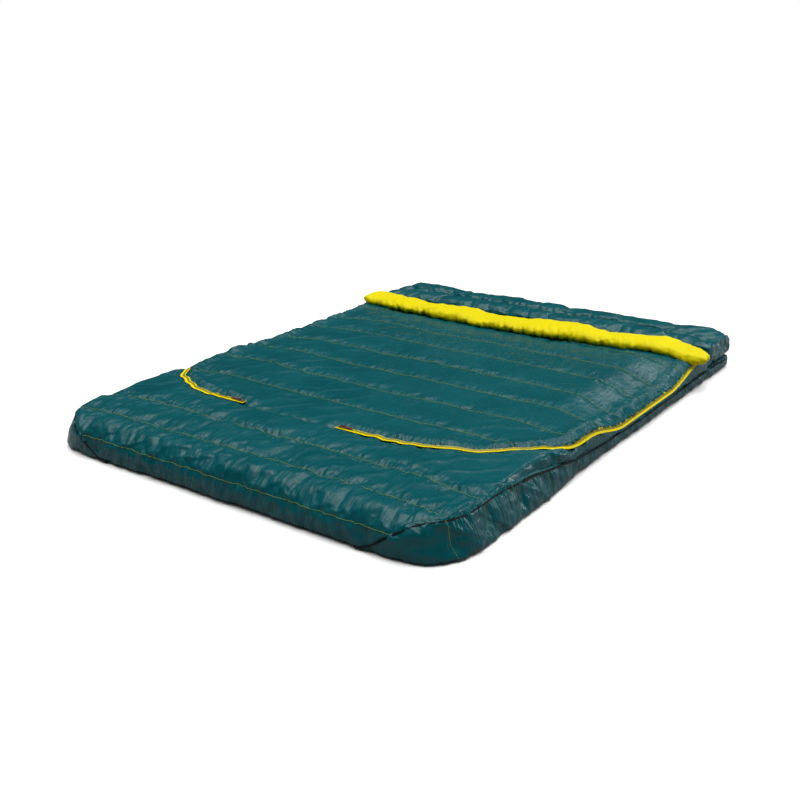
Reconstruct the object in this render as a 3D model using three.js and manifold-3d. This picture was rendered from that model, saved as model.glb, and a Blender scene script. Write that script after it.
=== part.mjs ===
// Two-person rectangular sleeping bag, lying flat and zipped up.
//
// Millimetres, +Z up. The origin is on the ground under the middle of the footprint.
// +Y points to the head end and +X to the right-hand side, seen from the foot.
//
// The bag has a padded underside, a closed footbox, a top quilt that two curved zips let fold
// back over the foot, a padded fold-over collar at the quilt's head edge, and a pillow sleeve.
// Cloth is drawn at cloth_thickness, far thicker than the real ripstop, so that it is a solid.

import * as THREE from 'three';
import { mergeVertices } from 'three/addons/utils/BufferGeometryUtils.js';
import Module from 'manifold-3d';

const wasm = await Module();
wasm.setup();

// ---- driving dimensions -------------------------------------------------------------------

// overall
const bag_length = 2100;
const bag_width = 1550;
const foot_corner_radius = 170;
const head_corner_radius = 45;
const corner_steps = 8;

// cloth, filling and clearances
const cloth_thickness = 1.2;
const gap = 0.3;
const bottom_fill_thickness = 28;
const quilt_fill_thickness = 26;
const sleeve_fill_thickness = 26;
const quilt_top_z = 119.5;
const sleeve_top_z = 130;

// corded seam between the side gusset and the top panel
const piping_radius = 2.2;
const piping_sides = 6;
const seam_to_corner = 100;
const seam_rise_length = 210;
const seam_foot_z = 6;
const seam_shoulder_z = 112;
const seam_side_z = 40;
const seam_level_length = 250;
const seam_fall_length = 750;

// zips
const tape_half_width = 20;
const tape_thickness = 1.2;
const coil_half_width = 4;
const coil_height = 3;
const zip_start_run = 110;
const zip_past_fold = 22;
const zip_end_to_quilt_edge = 65;
const zip_side_tilt = THREE.MathUtils.degToRad(55);
const twist_start = THREE.MathUtils.degToRad(62);
const twist_end = THREE.MathUtils.degToRad(86);
const zip_arc_steps = 30;
const right_zip = { side: 1, foot_x: 100, reach_y: 365 };
const left_zip = { side: -1, foot_x: -295, reach_y: 235 };

// footbox up to the quilt's fold line, pillow sleeve, and the mouth between sleeve and quilt
const footbox_length = 413;
const sleeve_length = 260;
const mouth_gap = 25;

// fold-over collar
const collar_depth = 185;
const collar_to_quilt_edge = 5;
const collar_side_inset = 8;
const collar_fill_thickness = 29;
const collar_corner_radius = 30;

// draft tubes behind the zips
const draft_tube_radius = 11;
const draft_tube_z = 66;
const draft_tube_sides = 10;

// zip sliders, pulls and stops
const stop_length = 7;
const stop_width = 6;
const stop_height = 2.5;
const slider_clearance = 1;
const slider_length = 28;
const slider_half_width = 7;
const slider_plate = 1.8;
const flange_clearance = 0.4;
const slider_to_zip_end = 10;
const bridge_length = 14;
const bridge_width = 3;
const bridge_height = 4.6;
const bridge_wall = 1.6;
const pull_bar_radius = 0.7;
const pull_thickness = 1.2;
const pull_half_width = 4.4;
const pull_eye_length = 10;
const pull_tab_length = 28;

// ---- sizes worked out from them -----------------------------------------------------------

const piping_proud = 2 * piping_radius + gap;
const wall_x = bag_width / 2 - piping_proud;
const foot_y = -bag_length / 2 + piping_proud;
const head_y = bag_length / 2;

const hinge_y = -bag_length / 2 + footbox_length;
const sleeve_front_y = head_y - sleeve_length;
const quilt_head_y = sleeve_front_y - mouth_gap;
const collar_back_y = quilt_head_y - collar_to_quilt_edge;
const collar_front_y = collar_back_y - collar_depth;
const collar_half_width = wall_x - collar_side_inset;

const zip_foot_y = hinge_y + zip_past_fold;
const zip_head_y = quilt_head_y - zip_end_to_quilt_edge;
const head_slider_y = zip_head_y - slider_to_zip_end;
const shoulder_y = (zip) => zip_foot_y + zip.reach_y;

const seam_foot_x = wall_x - foot_corner_radius - seam_to_corner;
const seam_fall_start_y = -bag_length / 2 + seam_level_length;
const seam_fall_end_y = seam_fall_start_y + seam_fall_length;

const bottom_fill_z = cloth_thickness + gap;
const bottom_lining_z = bottom_fill_z + bottom_fill_thickness + gap;
const floor_top_z = bottom_lining_z + cloth_thickness;

const quilt_shell_z = quilt_top_z - cloth_thickness;
const quilt_fill_z = quilt_shell_z - gap - quilt_fill_thickness;
const quilt_lining_z = quilt_fill_z - gap - cloth_thickness;

const sleeve_shell_z = sleeve_top_z - cloth_thickness;
const sleeve_fill_z = sleeve_shell_z - gap - sleeve_fill_thickness;
const sleeve_lining_z = sleeve_fill_z - gap - cloth_thickness;

const tape_z = quilt_shell_z;
const coil_low = tape_thickness + gap;
const coil_top = coil_low + coil_height;
const zip_side_x = wall_x - cloth_thickness / 2 - tape_half_width * Math.cos(zip_side_tilt);
const far_above = 60;

// ---- solids -------------------------------------------------------------------------------

function solid_of(geometry) {
  const bare = geometry.index ? geometry.clone() : geometry;
  bare.deleteAttribute('normal');
  bare.deleteAttribute('uv');
  const merged = mergeVertices(bare, 1e-4);
  const mesh = new wasm.Mesh({
    numProp: 3,
    vertProperties: new Float32Array(merged.attributes.position.array),
    triVerts: new Uint32Array(merged.index.array),
  });
  return new wasm.Manifold(mesh);
}

function geometry_of(solid) {
  const mesh = solid.getMesh();
  const geometry = new THREE.BufferGeometry();
  geometry.setAttribute('position', new THREE.BufferAttribute(mesh.vertProperties, 3));
  geometry.setIndex(new THREE.BufferAttribute(mesh.triVerts, 1));
  geometry.computeVertexNormals();
  return geometry;
}

// Straight-sided solid over an outline, between two heights.
function prism(points, low_z, high_z) {
  const options = { depth: high_z - low_z, bevelEnabled: false };
  const geometry = new THREE.ExtrudeGeometry(new THREE.Shape(points), options);
  geometry.translate(0, 0, low_z);
  return solid_of(geometry);
}

// Solid through a row of rings with equally many corners each, closed by a cap at both ends.
function loft(rings) {
  const corners = rings[0].length;
  const last = (rings.length - 1) * corners;
  const index = [];
  for (let ring = 0; ring < rings.length - 1; ring += 1) {
    for (let corner = 0; corner < corners; corner += 1) {
      const a = ring * corners + corner;
      const b = ring * corners + (corner + 1) % corners;
      index.push(a, b, a + corners, b, b + corners, a + corners);
    }
  }
  for (let corner = 1; corner < corners - 1; corner += 1) {
    index.push(0, corner + 1, corner);
    index.push(last, last + corner, last + corner + 1);
  }
  const geometry = new THREE.BufferGeometry().setFromPoints(rings.flat());
  geometry.setIndex(index);
  if (signed_volume(rings.flat(), index) < 0) {
    index.reverse();
    geometry.setIndex(index);
  }
  return solid_of(geometry);
}

function signed_volume(points, index) {
  const cross = new THREE.Vector3();
  let volume = 0;
  for (let i = 0; i < index.length; i += 3) {
    cross.crossVectors(points[index[i + 1]], points[index[i + 2]]);
    volume += points[index[i]].dot(cross) / 6;
  }
  return volume;
}

function box(low, high) {
  const size = new THREE.Vector3().subVectors(high, low);
  const geometry = new THREE.BoxGeometry(size.x, size.y, size.z);
  geometry.translate((low.x + high.x) / 2, (low.y + high.y) / 2, (low.z + high.z) / 2);
  return solid_of(geometry);
}

function vector(x, y, z) {
  return new THREE.Vector3(x, y, z);
}

function smooth(value) {
  return THREE.MathUtils.smoothstep(value, 0, 1);
}

// ---- outline of the bag -------------------------------------------------------------------

function rounded_corner(centre_x, centre_y, radius, start_degrees) {
  const points = [];
  for (let step = 0; step <= corner_steps; step += 1) {
    const angle = THREE.MathUtils.degToRad(start_degrees + 90 * step / corner_steps);
    const x = centre_x + radius * Math.cos(angle);
    const y = centre_y + radius * Math.sin(angle);
    points.push(new THREE.Vector2(x, y));
  }
  return points;
}

// Rounded rectangle, with one radius at its foot corners and another at its head corners.
function rounded_outline(half_width, low_y, high_y, low_radius, high_radius) {
  return [
    ...rounded_corner(-half_width + low_radius, low_y + low_radius, low_radius, 180),
    ...rounded_corner(half_width - low_radius, low_y + low_radius, low_radius, 270),
    ...rounded_corner(half_width - high_radius, high_y - high_radius, high_radius, 0),
    ...rounded_corner(-half_width + high_radius, high_y - high_radius, high_radius, 90),
  ];
}

function bag_outline(inset) {
  return rounded_outline(
    wall_x - inset, foot_y + inset, head_y - inset,
    foot_corner_radius - inset, head_corner_radius - inset,
  );
}

const inside_walls = cloth_thickness + gap;

// ---- path of the zips ---------------------------------------------------------------------

// Each frame has the zip's middle line, the way to the quilt side, and the way out of the bag.
function zip_frame(zip, x, y, along_x, along_y, turn) {
  const tilt = zip_side_tilt * smooth((turn - twist_start) / (twist_end - twist_start));
  const to_quilt = vector(-along_y, along_x, 0).multiplyScalar(zip.side).normalize();
  const up = vector(0, 0, 1);
  return {
    middle: vector(x, y, tape_z - tape_half_width * Math.sin(tilt)),
    inward: to_quilt.clone().multiplyScalar(Math.cos(tilt)).addScaledVector(up, Math.sin(tilt)),
    out: up.clone().multiplyScalar(Math.cos(tilt)).addScaledVector(to_quilt, -Math.sin(tilt)),
  };
}

// A straight run from the foot end, a quarter of an ellipse to the side, and the side run.
function zip_frames(zip, start_distance, end_y) {
  const start_x = zip.foot_x + zip.side * start_distance;
  const arc_x = zip.foot_x + zip.side * zip_start_run;
  const reach_x = zip.side * zip_side_x - arc_x;
  const frames = [zip_frame(zip, start_x, zip_foot_y, zip.side, 0, 0)];
  for (let step = 0; step <= zip_arc_steps; step += 1) {
    const turn = (Math.PI / 2) * step / zip_arc_steps;
    const x = arc_x + reach_x * Math.sin(turn);
    const y = shoulder_y(zip) - zip.reach_y * Math.cos(turn);
    const along_y = zip.reach_y * Math.sin(turn);
    frames.push(zip_frame(zip, x, y, reach_x * Math.cos(turn), along_y, turn));
  }
  frames.push(zip_frame(zip, zip.side * zip_side_x, end_y, 0, 1, Math.PI / 2));
  return frames;
}

function along_frame(frame, inward, out) {
  const point = frame.middle.clone();
  return point.addScaledVector(frame.inward, inward).addScaledVector(frame.out, out);
}

// Ribbon that follows the frames, between two distances inward and two distances outward.
// Its top face has a further edge at inward_middle, to match what is laid on that face.
function ribbon(frames, inward_low, inward_high, out_low, out_high, inward_middle) {
  const middle = inward_middle ?? (inward_low + inward_high) / 2;
  const rings = frames.map((frame) => [
    along_frame(frame, inward_low, out_low),
    along_frame(frame, inward_high, out_low),
    along_frame(frame, inward_high, out_high),
    along_frame(frame, middle, out_high),
    along_frame(frame, inward_low, out_high),
  ]);
  return loft(rings);
}

// Room that both halves of a zip need, with all that lies above it.
function zip_room(zip) {
  const frames = zip_frames(zip, 0, sleeve_front_y);
  const reach = tape_half_width + gap;
  return ribbon(frames, -reach, reach, -gap / 2, far_above);
}

// Plan of the quilt: the two zips' middle lines, the fold line and the head end.
function quilt_plan(inset, end_y) {
  const corner = (zip) => [
    new THREE.Vector2(zip.foot_x - zip.side * inset, hinge_y + inset),
    new THREE.Vector2(zip.foot_x - zip.side * inset, zip_foot_y + inset),
  ];
  const side = (zip) => zip_frames(zip, 1, end_y).map((frame) => {
    const across = vector(frame.inward.x, frame.inward.y, 0).normalize();
    const x = frame.middle.x + inset * across.x;
    const y = frame.middle.y + inset * across.y;
    return new THREE.Vector2(x, y);
  });
  const right = [...corner(right_zip), ...side(right_zip)];
  const left = [...corner(left_zip), ...side(left_zip)];
  return [...right, ...left.reverse()];
}

const right_room = zip_room(right_zip);
const left_room = zip_room(left_zip);

function without_zips(solid) {
  return solid.subtract(right_room).subtract(left_room);
}

// ---- side walls ---------------------------------------------------------------------------

// Stations along one wall, from the corded seam on the foot end, round the corner, to end_y.
function wall_stations(side, end_y) {
  const corner_x = wall_x - foot_corner_radius;
  const corner_y = foot_y + foot_corner_radius;
  const stations = [];
  const add = (x, y, out_x, out_y) => {
    const point = new THREE.Vector2(side * x, y);
    const out = new THREE.Vector2(side * out_x, out_y);
    const before = stations.at(-1);
    const length = before ? before.length + before.point.distanceTo(point) : 0;
    stations.push({ point, out, length });
  };
  for (let step = 0; step < 3; step += 1) {
    add(THREE.MathUtils.lerp(seam_foot_x, corner_x, step / 3), foot_y, 0, -1);
  }
  for (let step = 0; step <= corner_steps; step += 1) {
    const angle = THREE.MathUtils.degToRad(-90 + 90 * step / corner_steps);
    const out_x = Math.cos(angle);
    const out_y = Math.sin(angle);
    const radius = foot_corner_radius;
    add(corner_x + radius * out_x, corner_y + radius * out_y, out_x, out_y);
  }
  const fall_steps = 8;
  for (let step = 0; step <= fall_steps; step += 1) {
    const y = THREE.MathUtils.lerp(seam_fall_start_y, seam_fall_end_y, step / fall_steps);
    add(wall_x, y, 1, 0);
  }
  add(wall_x, end_y, 1, 0);
  return stations;
}

function seam_height(station) {
  const rise = smooth(station.length / seam_rise_length);
  const top = THREE.MathUtils.lerp(seam_foot_z, seam_shoulder_z, rise);
  const on_side = Math.abs(station.out.x) > 0.999;
  const fall = on_side ? smooth((station.point.y - seam_fall_start_y) / seam_fall_length) : 0;
  return THREE.MathUtils.lerp(top, seam_side_z, fall);
}

// Cloth wall along the stations, between two heights that may change from one to the next.
function cloth_wall(stations, low_of, high_of) {
  const rings = stations.map((station) => {
    const inner = station.point.clone().addScaledVector(station.out, -cloth_thickness);
    const low = low_of(station);
    const high = high_of(station);
    return [
      vector(station.point.x, station.point.y, low),
      vector(station.point.x, station.point.y, high),
      vector(inner.x, inner.y, high),
      vector(inner.x, inner.y, low),
    ];
  });
  return loft(rings);
}

function side_gusset(side) {
  const stations = wall_stations(side, head_y - head_corner_radius);
  return cloth_wall(stations, () => bottom_fill_z, (station) => seam_height(station) - gap / 2);
}

const upper_wall_z = quilt_shell_z - gap;

function side_panel(side) {
  const stations = wall_stations(side, sleeve_front_y - gap);
  const low_of = (station) => seam_height(station) + gap / 2;
  return without_zips(cloth_wall(stations, low_of, () => upper_wall_z));
}

function foot_end_panel() {
  const low = vector(-seam_foot_x + gap, foot_y, bottom_fill_z);
  const high = vector(seam_foot_x - gap, foot_y + cloth_thickness, upper_wall_z);
  return box(low, high);
}

// Cord sewn over the seam, standing proud of the wall.
function seam_piping(side) {
  const stations = wall_stations(side, head_y - head_corner_radius);
  const up = vector(0, 0, 1);
  const rings = stations.map((station) => {
    const out = vector(station.out.x, station.out.y, 0);
    const middle = vector(station.point.x, station.point.y, seam_height(station));
    middle.addScaledVector(out, piping_radius + gap);
    const ring = [];
    for (let corner = 0; corner < piping_sides; corner += 1) {
      const angle = 2 * Math.PI * corner / piping_sides;
      const point = middle.clone().addScaledVector(out, piping_radius * Math.cos(angle));
      ring.push(point.addScaledVector(up, piping_radius * Math.sin(angle)));
    }
    return ring;
  });
  return loft(rings);
}

// ---- padded panels ------------------------------------------------------------------------

// Layer of the closed footbox, foot side of the zips and the fold line.
const footbox_end_y = Math.max(shoulder_y(right_zip), shoulder_y(left_zip));

function footbox_layer(inset, low_z, high_z) {
  const low = vector(-bag_width, -bag_length, low_z - 1);
  const high = vector(bag_width, footbox_end_y, high_z + 1);
  const whole = prism(bag_outline(inset), low_z, high_z).intersect(box(low, high));
  const quilt_side = prism(quilt_plan(-gap / 2, quilt_head_y), low_z - 1, high_z + 1);
  return without_zips(whole.subtract(quilt_side));
}

// Layer of the quilt, inside the zips.
function quilt_layer(low_z, high_z) {
  return without_zips(prism(quilt_plan(gap / 2, quilt_head_y), low_z, high_z));
}

// Layer of the pillow sleeve, from the sleeve's front to the head end.
function sleeve_layer(inset, low_z, high_z) {
  const whole = prism(bag_outline(inset), low_z, high_z);
  const low = vector(-bag_width, sleeve_front_y + inset, low_z - 1);
  const high = vector(bag_width, head_y + far_above, high_z + 1);
  return whole.intersect(box(low, high));
}

// Top cloth with a front wall that parts the sleeve from the sleeping space, and two sides.
function sleeve_shell() {
  const cover = sleeve_layer(0, seam_side_z + gap, sleeve_top_z);
  const room = sleeve_layer(cloth_thickness, 0, sleeve_shell_z);
  const mouth_low = vector(-wall_x + cloth_thickness, head_y - head_corner_radius, 0);
  const mouth_high = vector(wall_x - cloth_thickness, head_y + 1, sleeve_shell_z);
  const head_low = vector(-bag_width, head_y - head_corner_radius, 0);
  const head_high = vector(bag_width, head_y + 1, sleeve_shell_z);
  const mouth = box(mouth_low, mouth_high).add(box(head_low, head_high));
  return cover.subtract(room).subtract(mouth);
}

// Plan of the collar, set in from its lime cover.
function collar_plan(inset) {
  return rounded_outline(
    collar_half_width - inset, collar_front_y + inset, collar_back_y - inset,
    collar_corner_radius - inset, collar_corner_radius - inset,
  );
}

const collar_back_z = quilt_top_z + gap;
const collar_fill_z = collar_back_z + cloth_thickness + gap;
const collar_face_z = collar_fill_z + collar_fill_thickness + gap;
const collar_top_z = collar_face_z + cloth_thickness;

function collar_face() {
  const cover = prism(collar_plan(0), collar_fill_z, collar_top_z);
  return cover.subtract(prism(collar_plan(cloth_thickness), 0, collar_face_z));
}

// Padded tube behind the closed zip, hung from the side wall.
function draft_tube(zip) {
  const centre_x = zip.side * (wall_x - cloth_thickness - gap - draft_tube_radius);
  const rings = [shoulder_y(zip), zip_head_y].map((y) => {
    const ring = [];
    for (let corner = 0; corner < draft_tube_sides; corner += 1) {
      const angle = 2 * Math.PI * corner / draft_tube_sides;
      const x = centre_x + draft_tube_radius * Math.cos(angle);
      ring.push(vector(x, y, draft_tube_z + draft_tube_radius * Math.sin(angle)));
    }
    return ring;
  });
  return loft(rings);
}

// ---- zips ---------------------------------------------------------------------------------

// half is 1 for the quilt's half of the zip and -1 for the bag's half.
function zip_tape(zip, half) {
  const near = half * gap / 2;
  const far = half * tape_half_width;
  const low = Math.min(near, far);
  const high = Math.max(near, far);
  const frames = zip_frames(zip, gap, zip_head_y);
  return ribbon(frames, low, high, 0, tape_thickness, half * coil_half_width);
}

function zip_coil(zip, half) {
  const near = half * gap / 2;
  const far = half * coil_half_width;
  const frames = zip_frames(zip, stop_length + 2 * slider_clearance, zip_head_y);
  return ribbon(frames, Math.min(near, far), Math.max(near, far), coil_low, coil_top);
}

// Metal stop clamped on the bag's tape at the foot end of the zip.
function zip_stop(zip) {
  const start = zip_frames(zip, slider_clearance, zip_head_y)[0];
  const end = zip_frames(zip, slider_clearance + stop_length, zip_head_y)[0];
  return ribbon([start, end], -stop_width, -gap / 2, coil_low, coil_low + stop_height);
}

// Slider in its own axes: x along the zip, y across it, z out of the bag.
// Its plate rides over both coils and one flange runs beside the quilt's coil.
const plate_low = coil_top + gap;
const plate_high = plate_low + slider_plate;
const bridge_start = (slider_length - bridge_length) / 2;
const bridge_top = plate_high + bridge_height;
const pull_bar_x = slider_length / 2;
const pull_bar_z = plate_high + (bridge_height - bridge_wall) / 2;

function slider_body(quilt_way) {
  const half = slider_half_width;
  const plate = box(vector(0, -half, plate_low), vector(slider_length, half, plate_high));
  const flange_near = quilt_way * (coil_half_width + flange_clearance);
  const flange_far = quilt_way * half;
  const flange_low = vector(0, Math.min(flange_near, flange_far), coil_low);
  const flange_high = vector(slider_length, Math.max(flange_near, flange_far), plate_high);
  const bridge_end = bridge_start + bridge_length;
  const width = bridge_width / 2;
  const arch = box(vector(bridge_start, -width, plate_low), vector(bridge_end, width, bridge_top));
  const eye_low = vector(bridge_start + bridge_wall, -half, plate_high);
  const eye_high = vector(bridge_end - bridge_wall, half, bridge_top - bridge_wall);
  return plate.add(box(flange_low, flange_high)).add(arch.subtract(box(eye_low, eye_high)));
}

function pull_tab() {
  const bar = new THREE.CylinderGeometry(pull_bar_radius, pull_bar_radius, 2 * pull_half_width, 8);
  bar.translate(pull_bar_x, 0, pull_bar_z);
  const low_z = pull_bar_z - pull_thickness / 2;
  const high_z = pull_bar_z + pull_thickness / 2;
  const eye_end = pull_bar_x + pull_eye_length;
  const tab_end = eye_end + pull_tab_length;
  const width = pull_half_width;
  const plate = box(vector(pull_bar_x, -width, low_z), vector(tab_end, width, high_z));
  const hole_low = vector(0, -width + pull_thickness, low_z - 1);
  const hole_high = vector(eye_end, width - pull_thickness, high_z + 1);
  return plate.subtract(box(hole_low, hole_high)).add(solid_of(bar));
}

// ---- assembly -----------------------------------------------------------------------------

function cloth_material(colour, roughness) {
  return new THREE.MeshStandardMaterial({ color: colour, roughness, metalness: 0 });
}

const shell_teal = cloth_material(0x1d5560, 0.35);
const lining_lime = cloth_material(0xd8d400, 0.6);
const filling_white = cloth_material(0xe8e8e2, 0.9);
const seam_black = cloth_material(0x0b1517, 0.6);
const tape_lime = cloth_material(0xe0d400, 0.7);
const coil_olive = cloth_material(0x9a8f12, 0.45);
const zip_metal = new THREE.MeshStandardMaterial({ color: 0x8f9294, roughness: 0.3, metalness: 1 });
const pull_cord = cloth_material(0x7a3b22, 0.5);

const bag = new THREE.Group();

function add_node(parent, name, solid, material) {
  const mesh = new THREE.Mesh(geometry_of(solid), material.clone());
  mesh.name = name;
  parent.add(mesh);
}

add_node(bag, 'bottom_shell', prism(bag_outline(0), 0, cloth_thickness), shell_teal);
add_node(
  bag, 'bottom_fill',
  prism(bag_outline(inside_walls), bottom_fill_z, bottom_fill_z + bottom_fill_thickness),
  filling_white,
);
add_node(
  bag, 'bottom_lining', prism(bag_outline(inside_walls), bottom_lining_z, floor_top_z),
  lining_lime,
);
add_node(bag, 'footbox_shell', footbox_layer(0, quilt_shell_z, quilt_top_z), shell_teal);
add_node(
  bag, 'footbox_fill', footbox_layer(inside_walls, quilt_fill_z, quilt_shell_z - gap),
  filling_white,
);
add_node(
  bag, 'footbox_lining', footbox_layer(inside_walls, quilt_lining_z, quilt_fill_z - gap),
  lining_lime,
);
add_node(bag, 'foot_end_panel', foot_end_panel(), shell_teal);
add_node(bag, 'sleeve_shell', sleeve_shell(), shell_teal);
add_node(
  bag, 'sleeve_fill', sleeve_layer(inside_walls, sleeve_fill_z, sleeve_shell_z - gap),
  filling_white,
);
add_node(
  bag, 'sleeve_lining', sleeve_layer(inside_walls, sleeve_lining_z, sleeve_fill_z - gap),
  shell_teal,
);

add_node(bag, 'quilt_shell', quilt_layer(quilt_shell_z, quilt_top_z), shell_teal);
add_node(bag, 'quilt_fill', quilt_layer(quilt_fill_z, quilt_shell_z - gap), filling_white);
add_node(bag, 'quilt_lining', quilt_layer(quilt_lining_z, quilt_fill_z - gap), lining_lime);

add_node(bag, 'collar_face', collar_face(), lining_lime);
add_node(
  bag, 'collar_fill',
  prism(collar_plan(inside_walls), collar_fill_z, collar_face_z - gap), filling_white,
);
add_node(
  bag, 'collar_back', prism(collar_plan(0), collar_back_z, collar_fill_z - gap), shell_teal,
);

// Group whose x, y and z run along the zip, across it and out of the bag at one of its frames.
function frame_group(frame, along) {
  const across = new THREE.Vector3().crossVectors(frame.out, along);
  const group = new THREE.Group();
  const basis = new THREE.Matrix4().makeBasis(along, across, frame.out);
  group.setRotationFromMatrix(basis);
  group.position.copy(frame.middle);
  const quilt_way = Math.sign(across.dot(frame.inward));
  return { group, quilt_way };
}

function add_slider(name, frame, along) {
  const { group, quilt_way } = frame_group(frame, along);
  add_node(group, `slider_${name}`, slider_body(quilt_way), zip_metal);
  add_node(group, `pull_${name}`, pull_tab(), pull_cord);
  bag.add(group);
}

for (const zip of [left_zip, right_zip]) {
  const name = zip.side < 0 ? 'left' : 'right';
  add_node(bag, `side_gusset_${name}`, side_gusset(zip.side), shell_teal);
  add_node(bag, `side_panel_${name}`, side_panel(zip.side), shell_teal);
  add_node(bag, `seam_piping_${name}`, seam_piping(zip.side), seam_black);
  add_node(bag, `draft_tube_${name}`, draft_tube(zip), lining_lime);
  add_node(bag, `zip_tape_outer_${name}`, zip_tape(zip, -1), tape_lime);
  add_node(bag, `zip_tape_inner_${name}`, zip_tape(zip, 1), tape_lime);
  add_node(bag, `zip_coil_outer_${name}`, zip_coil(zip, -1), coil_olive);
  add_node(bag, `zip_coil_inner_${name}`, zip_coil(zip, 1), coil_olive);
  add_node(bag, `zip_stop_${name}`, zip_stop(zip), zip_metal);

  const foot_frame = zip_frames(zip, stop_length + 2 * slider_clearance, zip_head_y)[0];
  add_slider(`foot_${name}`, foot_frame, vector(zip.side, 0, 0));
  const head_frame = zip_frames(zip, gap, head_slider_y).at(-1);
  add_slider(`head_${name}`, head_frame, vector(0, -1, 0));
}

export default bag;
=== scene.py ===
# %% [markdown]
# A two-person sleeping bag, zipped up and laid flat.
#
# The plain solids say where each piece goes. This notebook makes what one sees: puffed nylon
# panels, sewn rows, zips and the fold-over collar.

# %% Load the frame
import math

import bpy
import numpy as np
from mathutils import Matrix, Vector
from mathutils.bvhtree import BVHTree
from mathutils.kdtree import KDTree


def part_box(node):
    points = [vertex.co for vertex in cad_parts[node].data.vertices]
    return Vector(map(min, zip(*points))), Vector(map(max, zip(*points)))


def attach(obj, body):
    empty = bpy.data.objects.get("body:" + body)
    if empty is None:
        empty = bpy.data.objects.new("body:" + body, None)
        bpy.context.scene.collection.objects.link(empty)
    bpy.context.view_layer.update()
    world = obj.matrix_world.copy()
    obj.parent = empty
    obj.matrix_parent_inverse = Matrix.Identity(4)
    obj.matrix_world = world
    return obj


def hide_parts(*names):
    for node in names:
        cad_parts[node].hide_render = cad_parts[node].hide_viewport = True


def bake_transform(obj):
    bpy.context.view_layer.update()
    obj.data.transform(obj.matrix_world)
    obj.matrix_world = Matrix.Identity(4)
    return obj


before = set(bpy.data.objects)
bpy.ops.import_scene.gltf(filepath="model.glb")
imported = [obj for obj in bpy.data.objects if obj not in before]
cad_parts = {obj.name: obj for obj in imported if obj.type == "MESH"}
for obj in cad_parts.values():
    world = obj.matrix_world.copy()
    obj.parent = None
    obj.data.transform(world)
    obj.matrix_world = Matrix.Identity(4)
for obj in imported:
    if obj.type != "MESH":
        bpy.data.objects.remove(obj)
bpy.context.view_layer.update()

scene = bpy.context.scene

# %% [markdown]
# The camera comes first, because every later choice is judged through it. It stands off the
# foot's right corner at a little over head height of a seated person, and looks down at twenty
# degrees along the bag.

# %% Camera
camera_place = (2.107, -3.018, 1.347)
camera_turn = math.radians(36.25)
camera_down = math.radians(20.07)
camera_roll = math.radians(-0.8)
lens_mm = 48.2

bpy.ops.object.camera_add(location=camera_place)
camera = bpy.context.object
camera.name = "camera"
camera.data.lens = lens_mm
camera.data.sensor_width = 36.0
turned = Matrix.Rotation(camera_turn, 4, "Z") @ Matrix.Rotation(math.pi / 2 - camera_down, 4, "X")
camera.matrix_world = (
    Matrix.Translation(camera_place) @ turned @ Matrix.Rotation(camera_roll, 4, "Z")
)
scene.camera = camera
print("camera with a lens of", lens_mm, "mm")

# %% [markdown]
# A product studio is a white floor under one very large soft lamp, with dark walls, so that
# glossy cloth stays deep in colour and shines only where it tips towards the lamp. The world
# gives that: it is bright overhead and dark near the ground, and looks white where nothing
# stands in front of it. The floor throws back less light than bare white. One more lamp low
# behind the right side puts crisp streaks on the glossy side panel, and one behind the head end
# lights the edges of the folds.

# %% Floor and lamps
scene.view_settings.view_transform = "Standard"
floor_colour = (0.97, 0.97, 0.97, 1)
floor_bounce = (0.35, 0.35, 0.35, 1)
dark_wall, soft_roof, bright_roof = 0.02, 0.42, 4.80
wall_top, roof_edge, roof_middle = 0.42, 0.79, 0.95

bpy.ops.mesh.primitive_plane_add(size=90, location=(0, 0, -0.001))
floor = bpy.context.object
floor.name = "floor"
floor_paint = bpy.data.materials.new("white_floor")
floor_paint.use_nodes = True
tree = floor_paint.node_tree
floor_shader = tree.nodes["Principled BSDF"]
floor_shader.inputs["Roughness"].default_value = 0.9
floor_shader.inputs["Specular IOR Level"].default_value = 0.0
seen = tree.nodes.new("ShaderNodeLightPath")
floor_mix = tree.nodes.new("ShaderNodeMix")
floor_mix.data_type = "RGBA"
floor_mix.inputs["A"].default_value = floor_bounce
floor_mix.inputs["B"].default_value = floor_colour
tree.links.new(seen.outputs["Is Camera Ray"], floor_mix.inputs["Factor"])
tree.links.new(floor_mix.outputs["Result"], floor_shader.inputs["Base Color"])
floor.data.materials.append(floor_paint)

world = bpy.data.worlds.new("studio") if scene.world is None else scene.world
scene.world = world
world.use_nodes = True
tree = world.node_tree
tree.nodes.clear()
way = tree.nodes.new("ShaderNodeTexCoord")
parts = tree.nodes.new("ShaderNodeSeparateXYZ")
ramp = tree.nodes.new("ShaderNodeValToRGB")
ramp.color_ramp.elements[0].position = wall_top
ramp.color_ramp.elements[1].position = roof_middle
middle = ramp.color_ramp.elements.new(roof_edge)
for element, level in zip(ramp.color_ramp.elements, (dark_wall, soft_roof, bright_roof)):
    element.color = (level, level, level, 1)
roof = tree.nodes.new("ShaderNodeBackground")
white = tree.nodes.new("ShaderNodeBackground")
rays = tree.nodes.new("ShaderNodeLightPath")
mix = tree.nodes.new("ShaderNodeMixShader")
sky = tree.nodes.new("ShaderNodeOutputWorld")
tree.links.new(way.outputs["Generated"], parts.inputs[0])
tree.links.new(parts.outputs["Z"], ramp.inputs["Fac"])
tree.links.new(ramp.outputs["Color"], roof.inputs["Color"])
tree.links.new(rays.outputs["Is Camera Ray"], mix.inputs["Fac"])
tree.links.new(roof.outputs[0], mix.inputs[1])
tree.links.new(white.outputs[0], mix.inputs[2])
tree.links.new(mix.outputs[0], sky.inputs["Surface"])
white.inputs["Color"].default_value = (1, 1, 1, 1)
print("the floor sends back", floor_bounce[0], "of the light")

# %% [markdown]
# The two lamps are small next to the roof, so what they light stays crisp.

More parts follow.
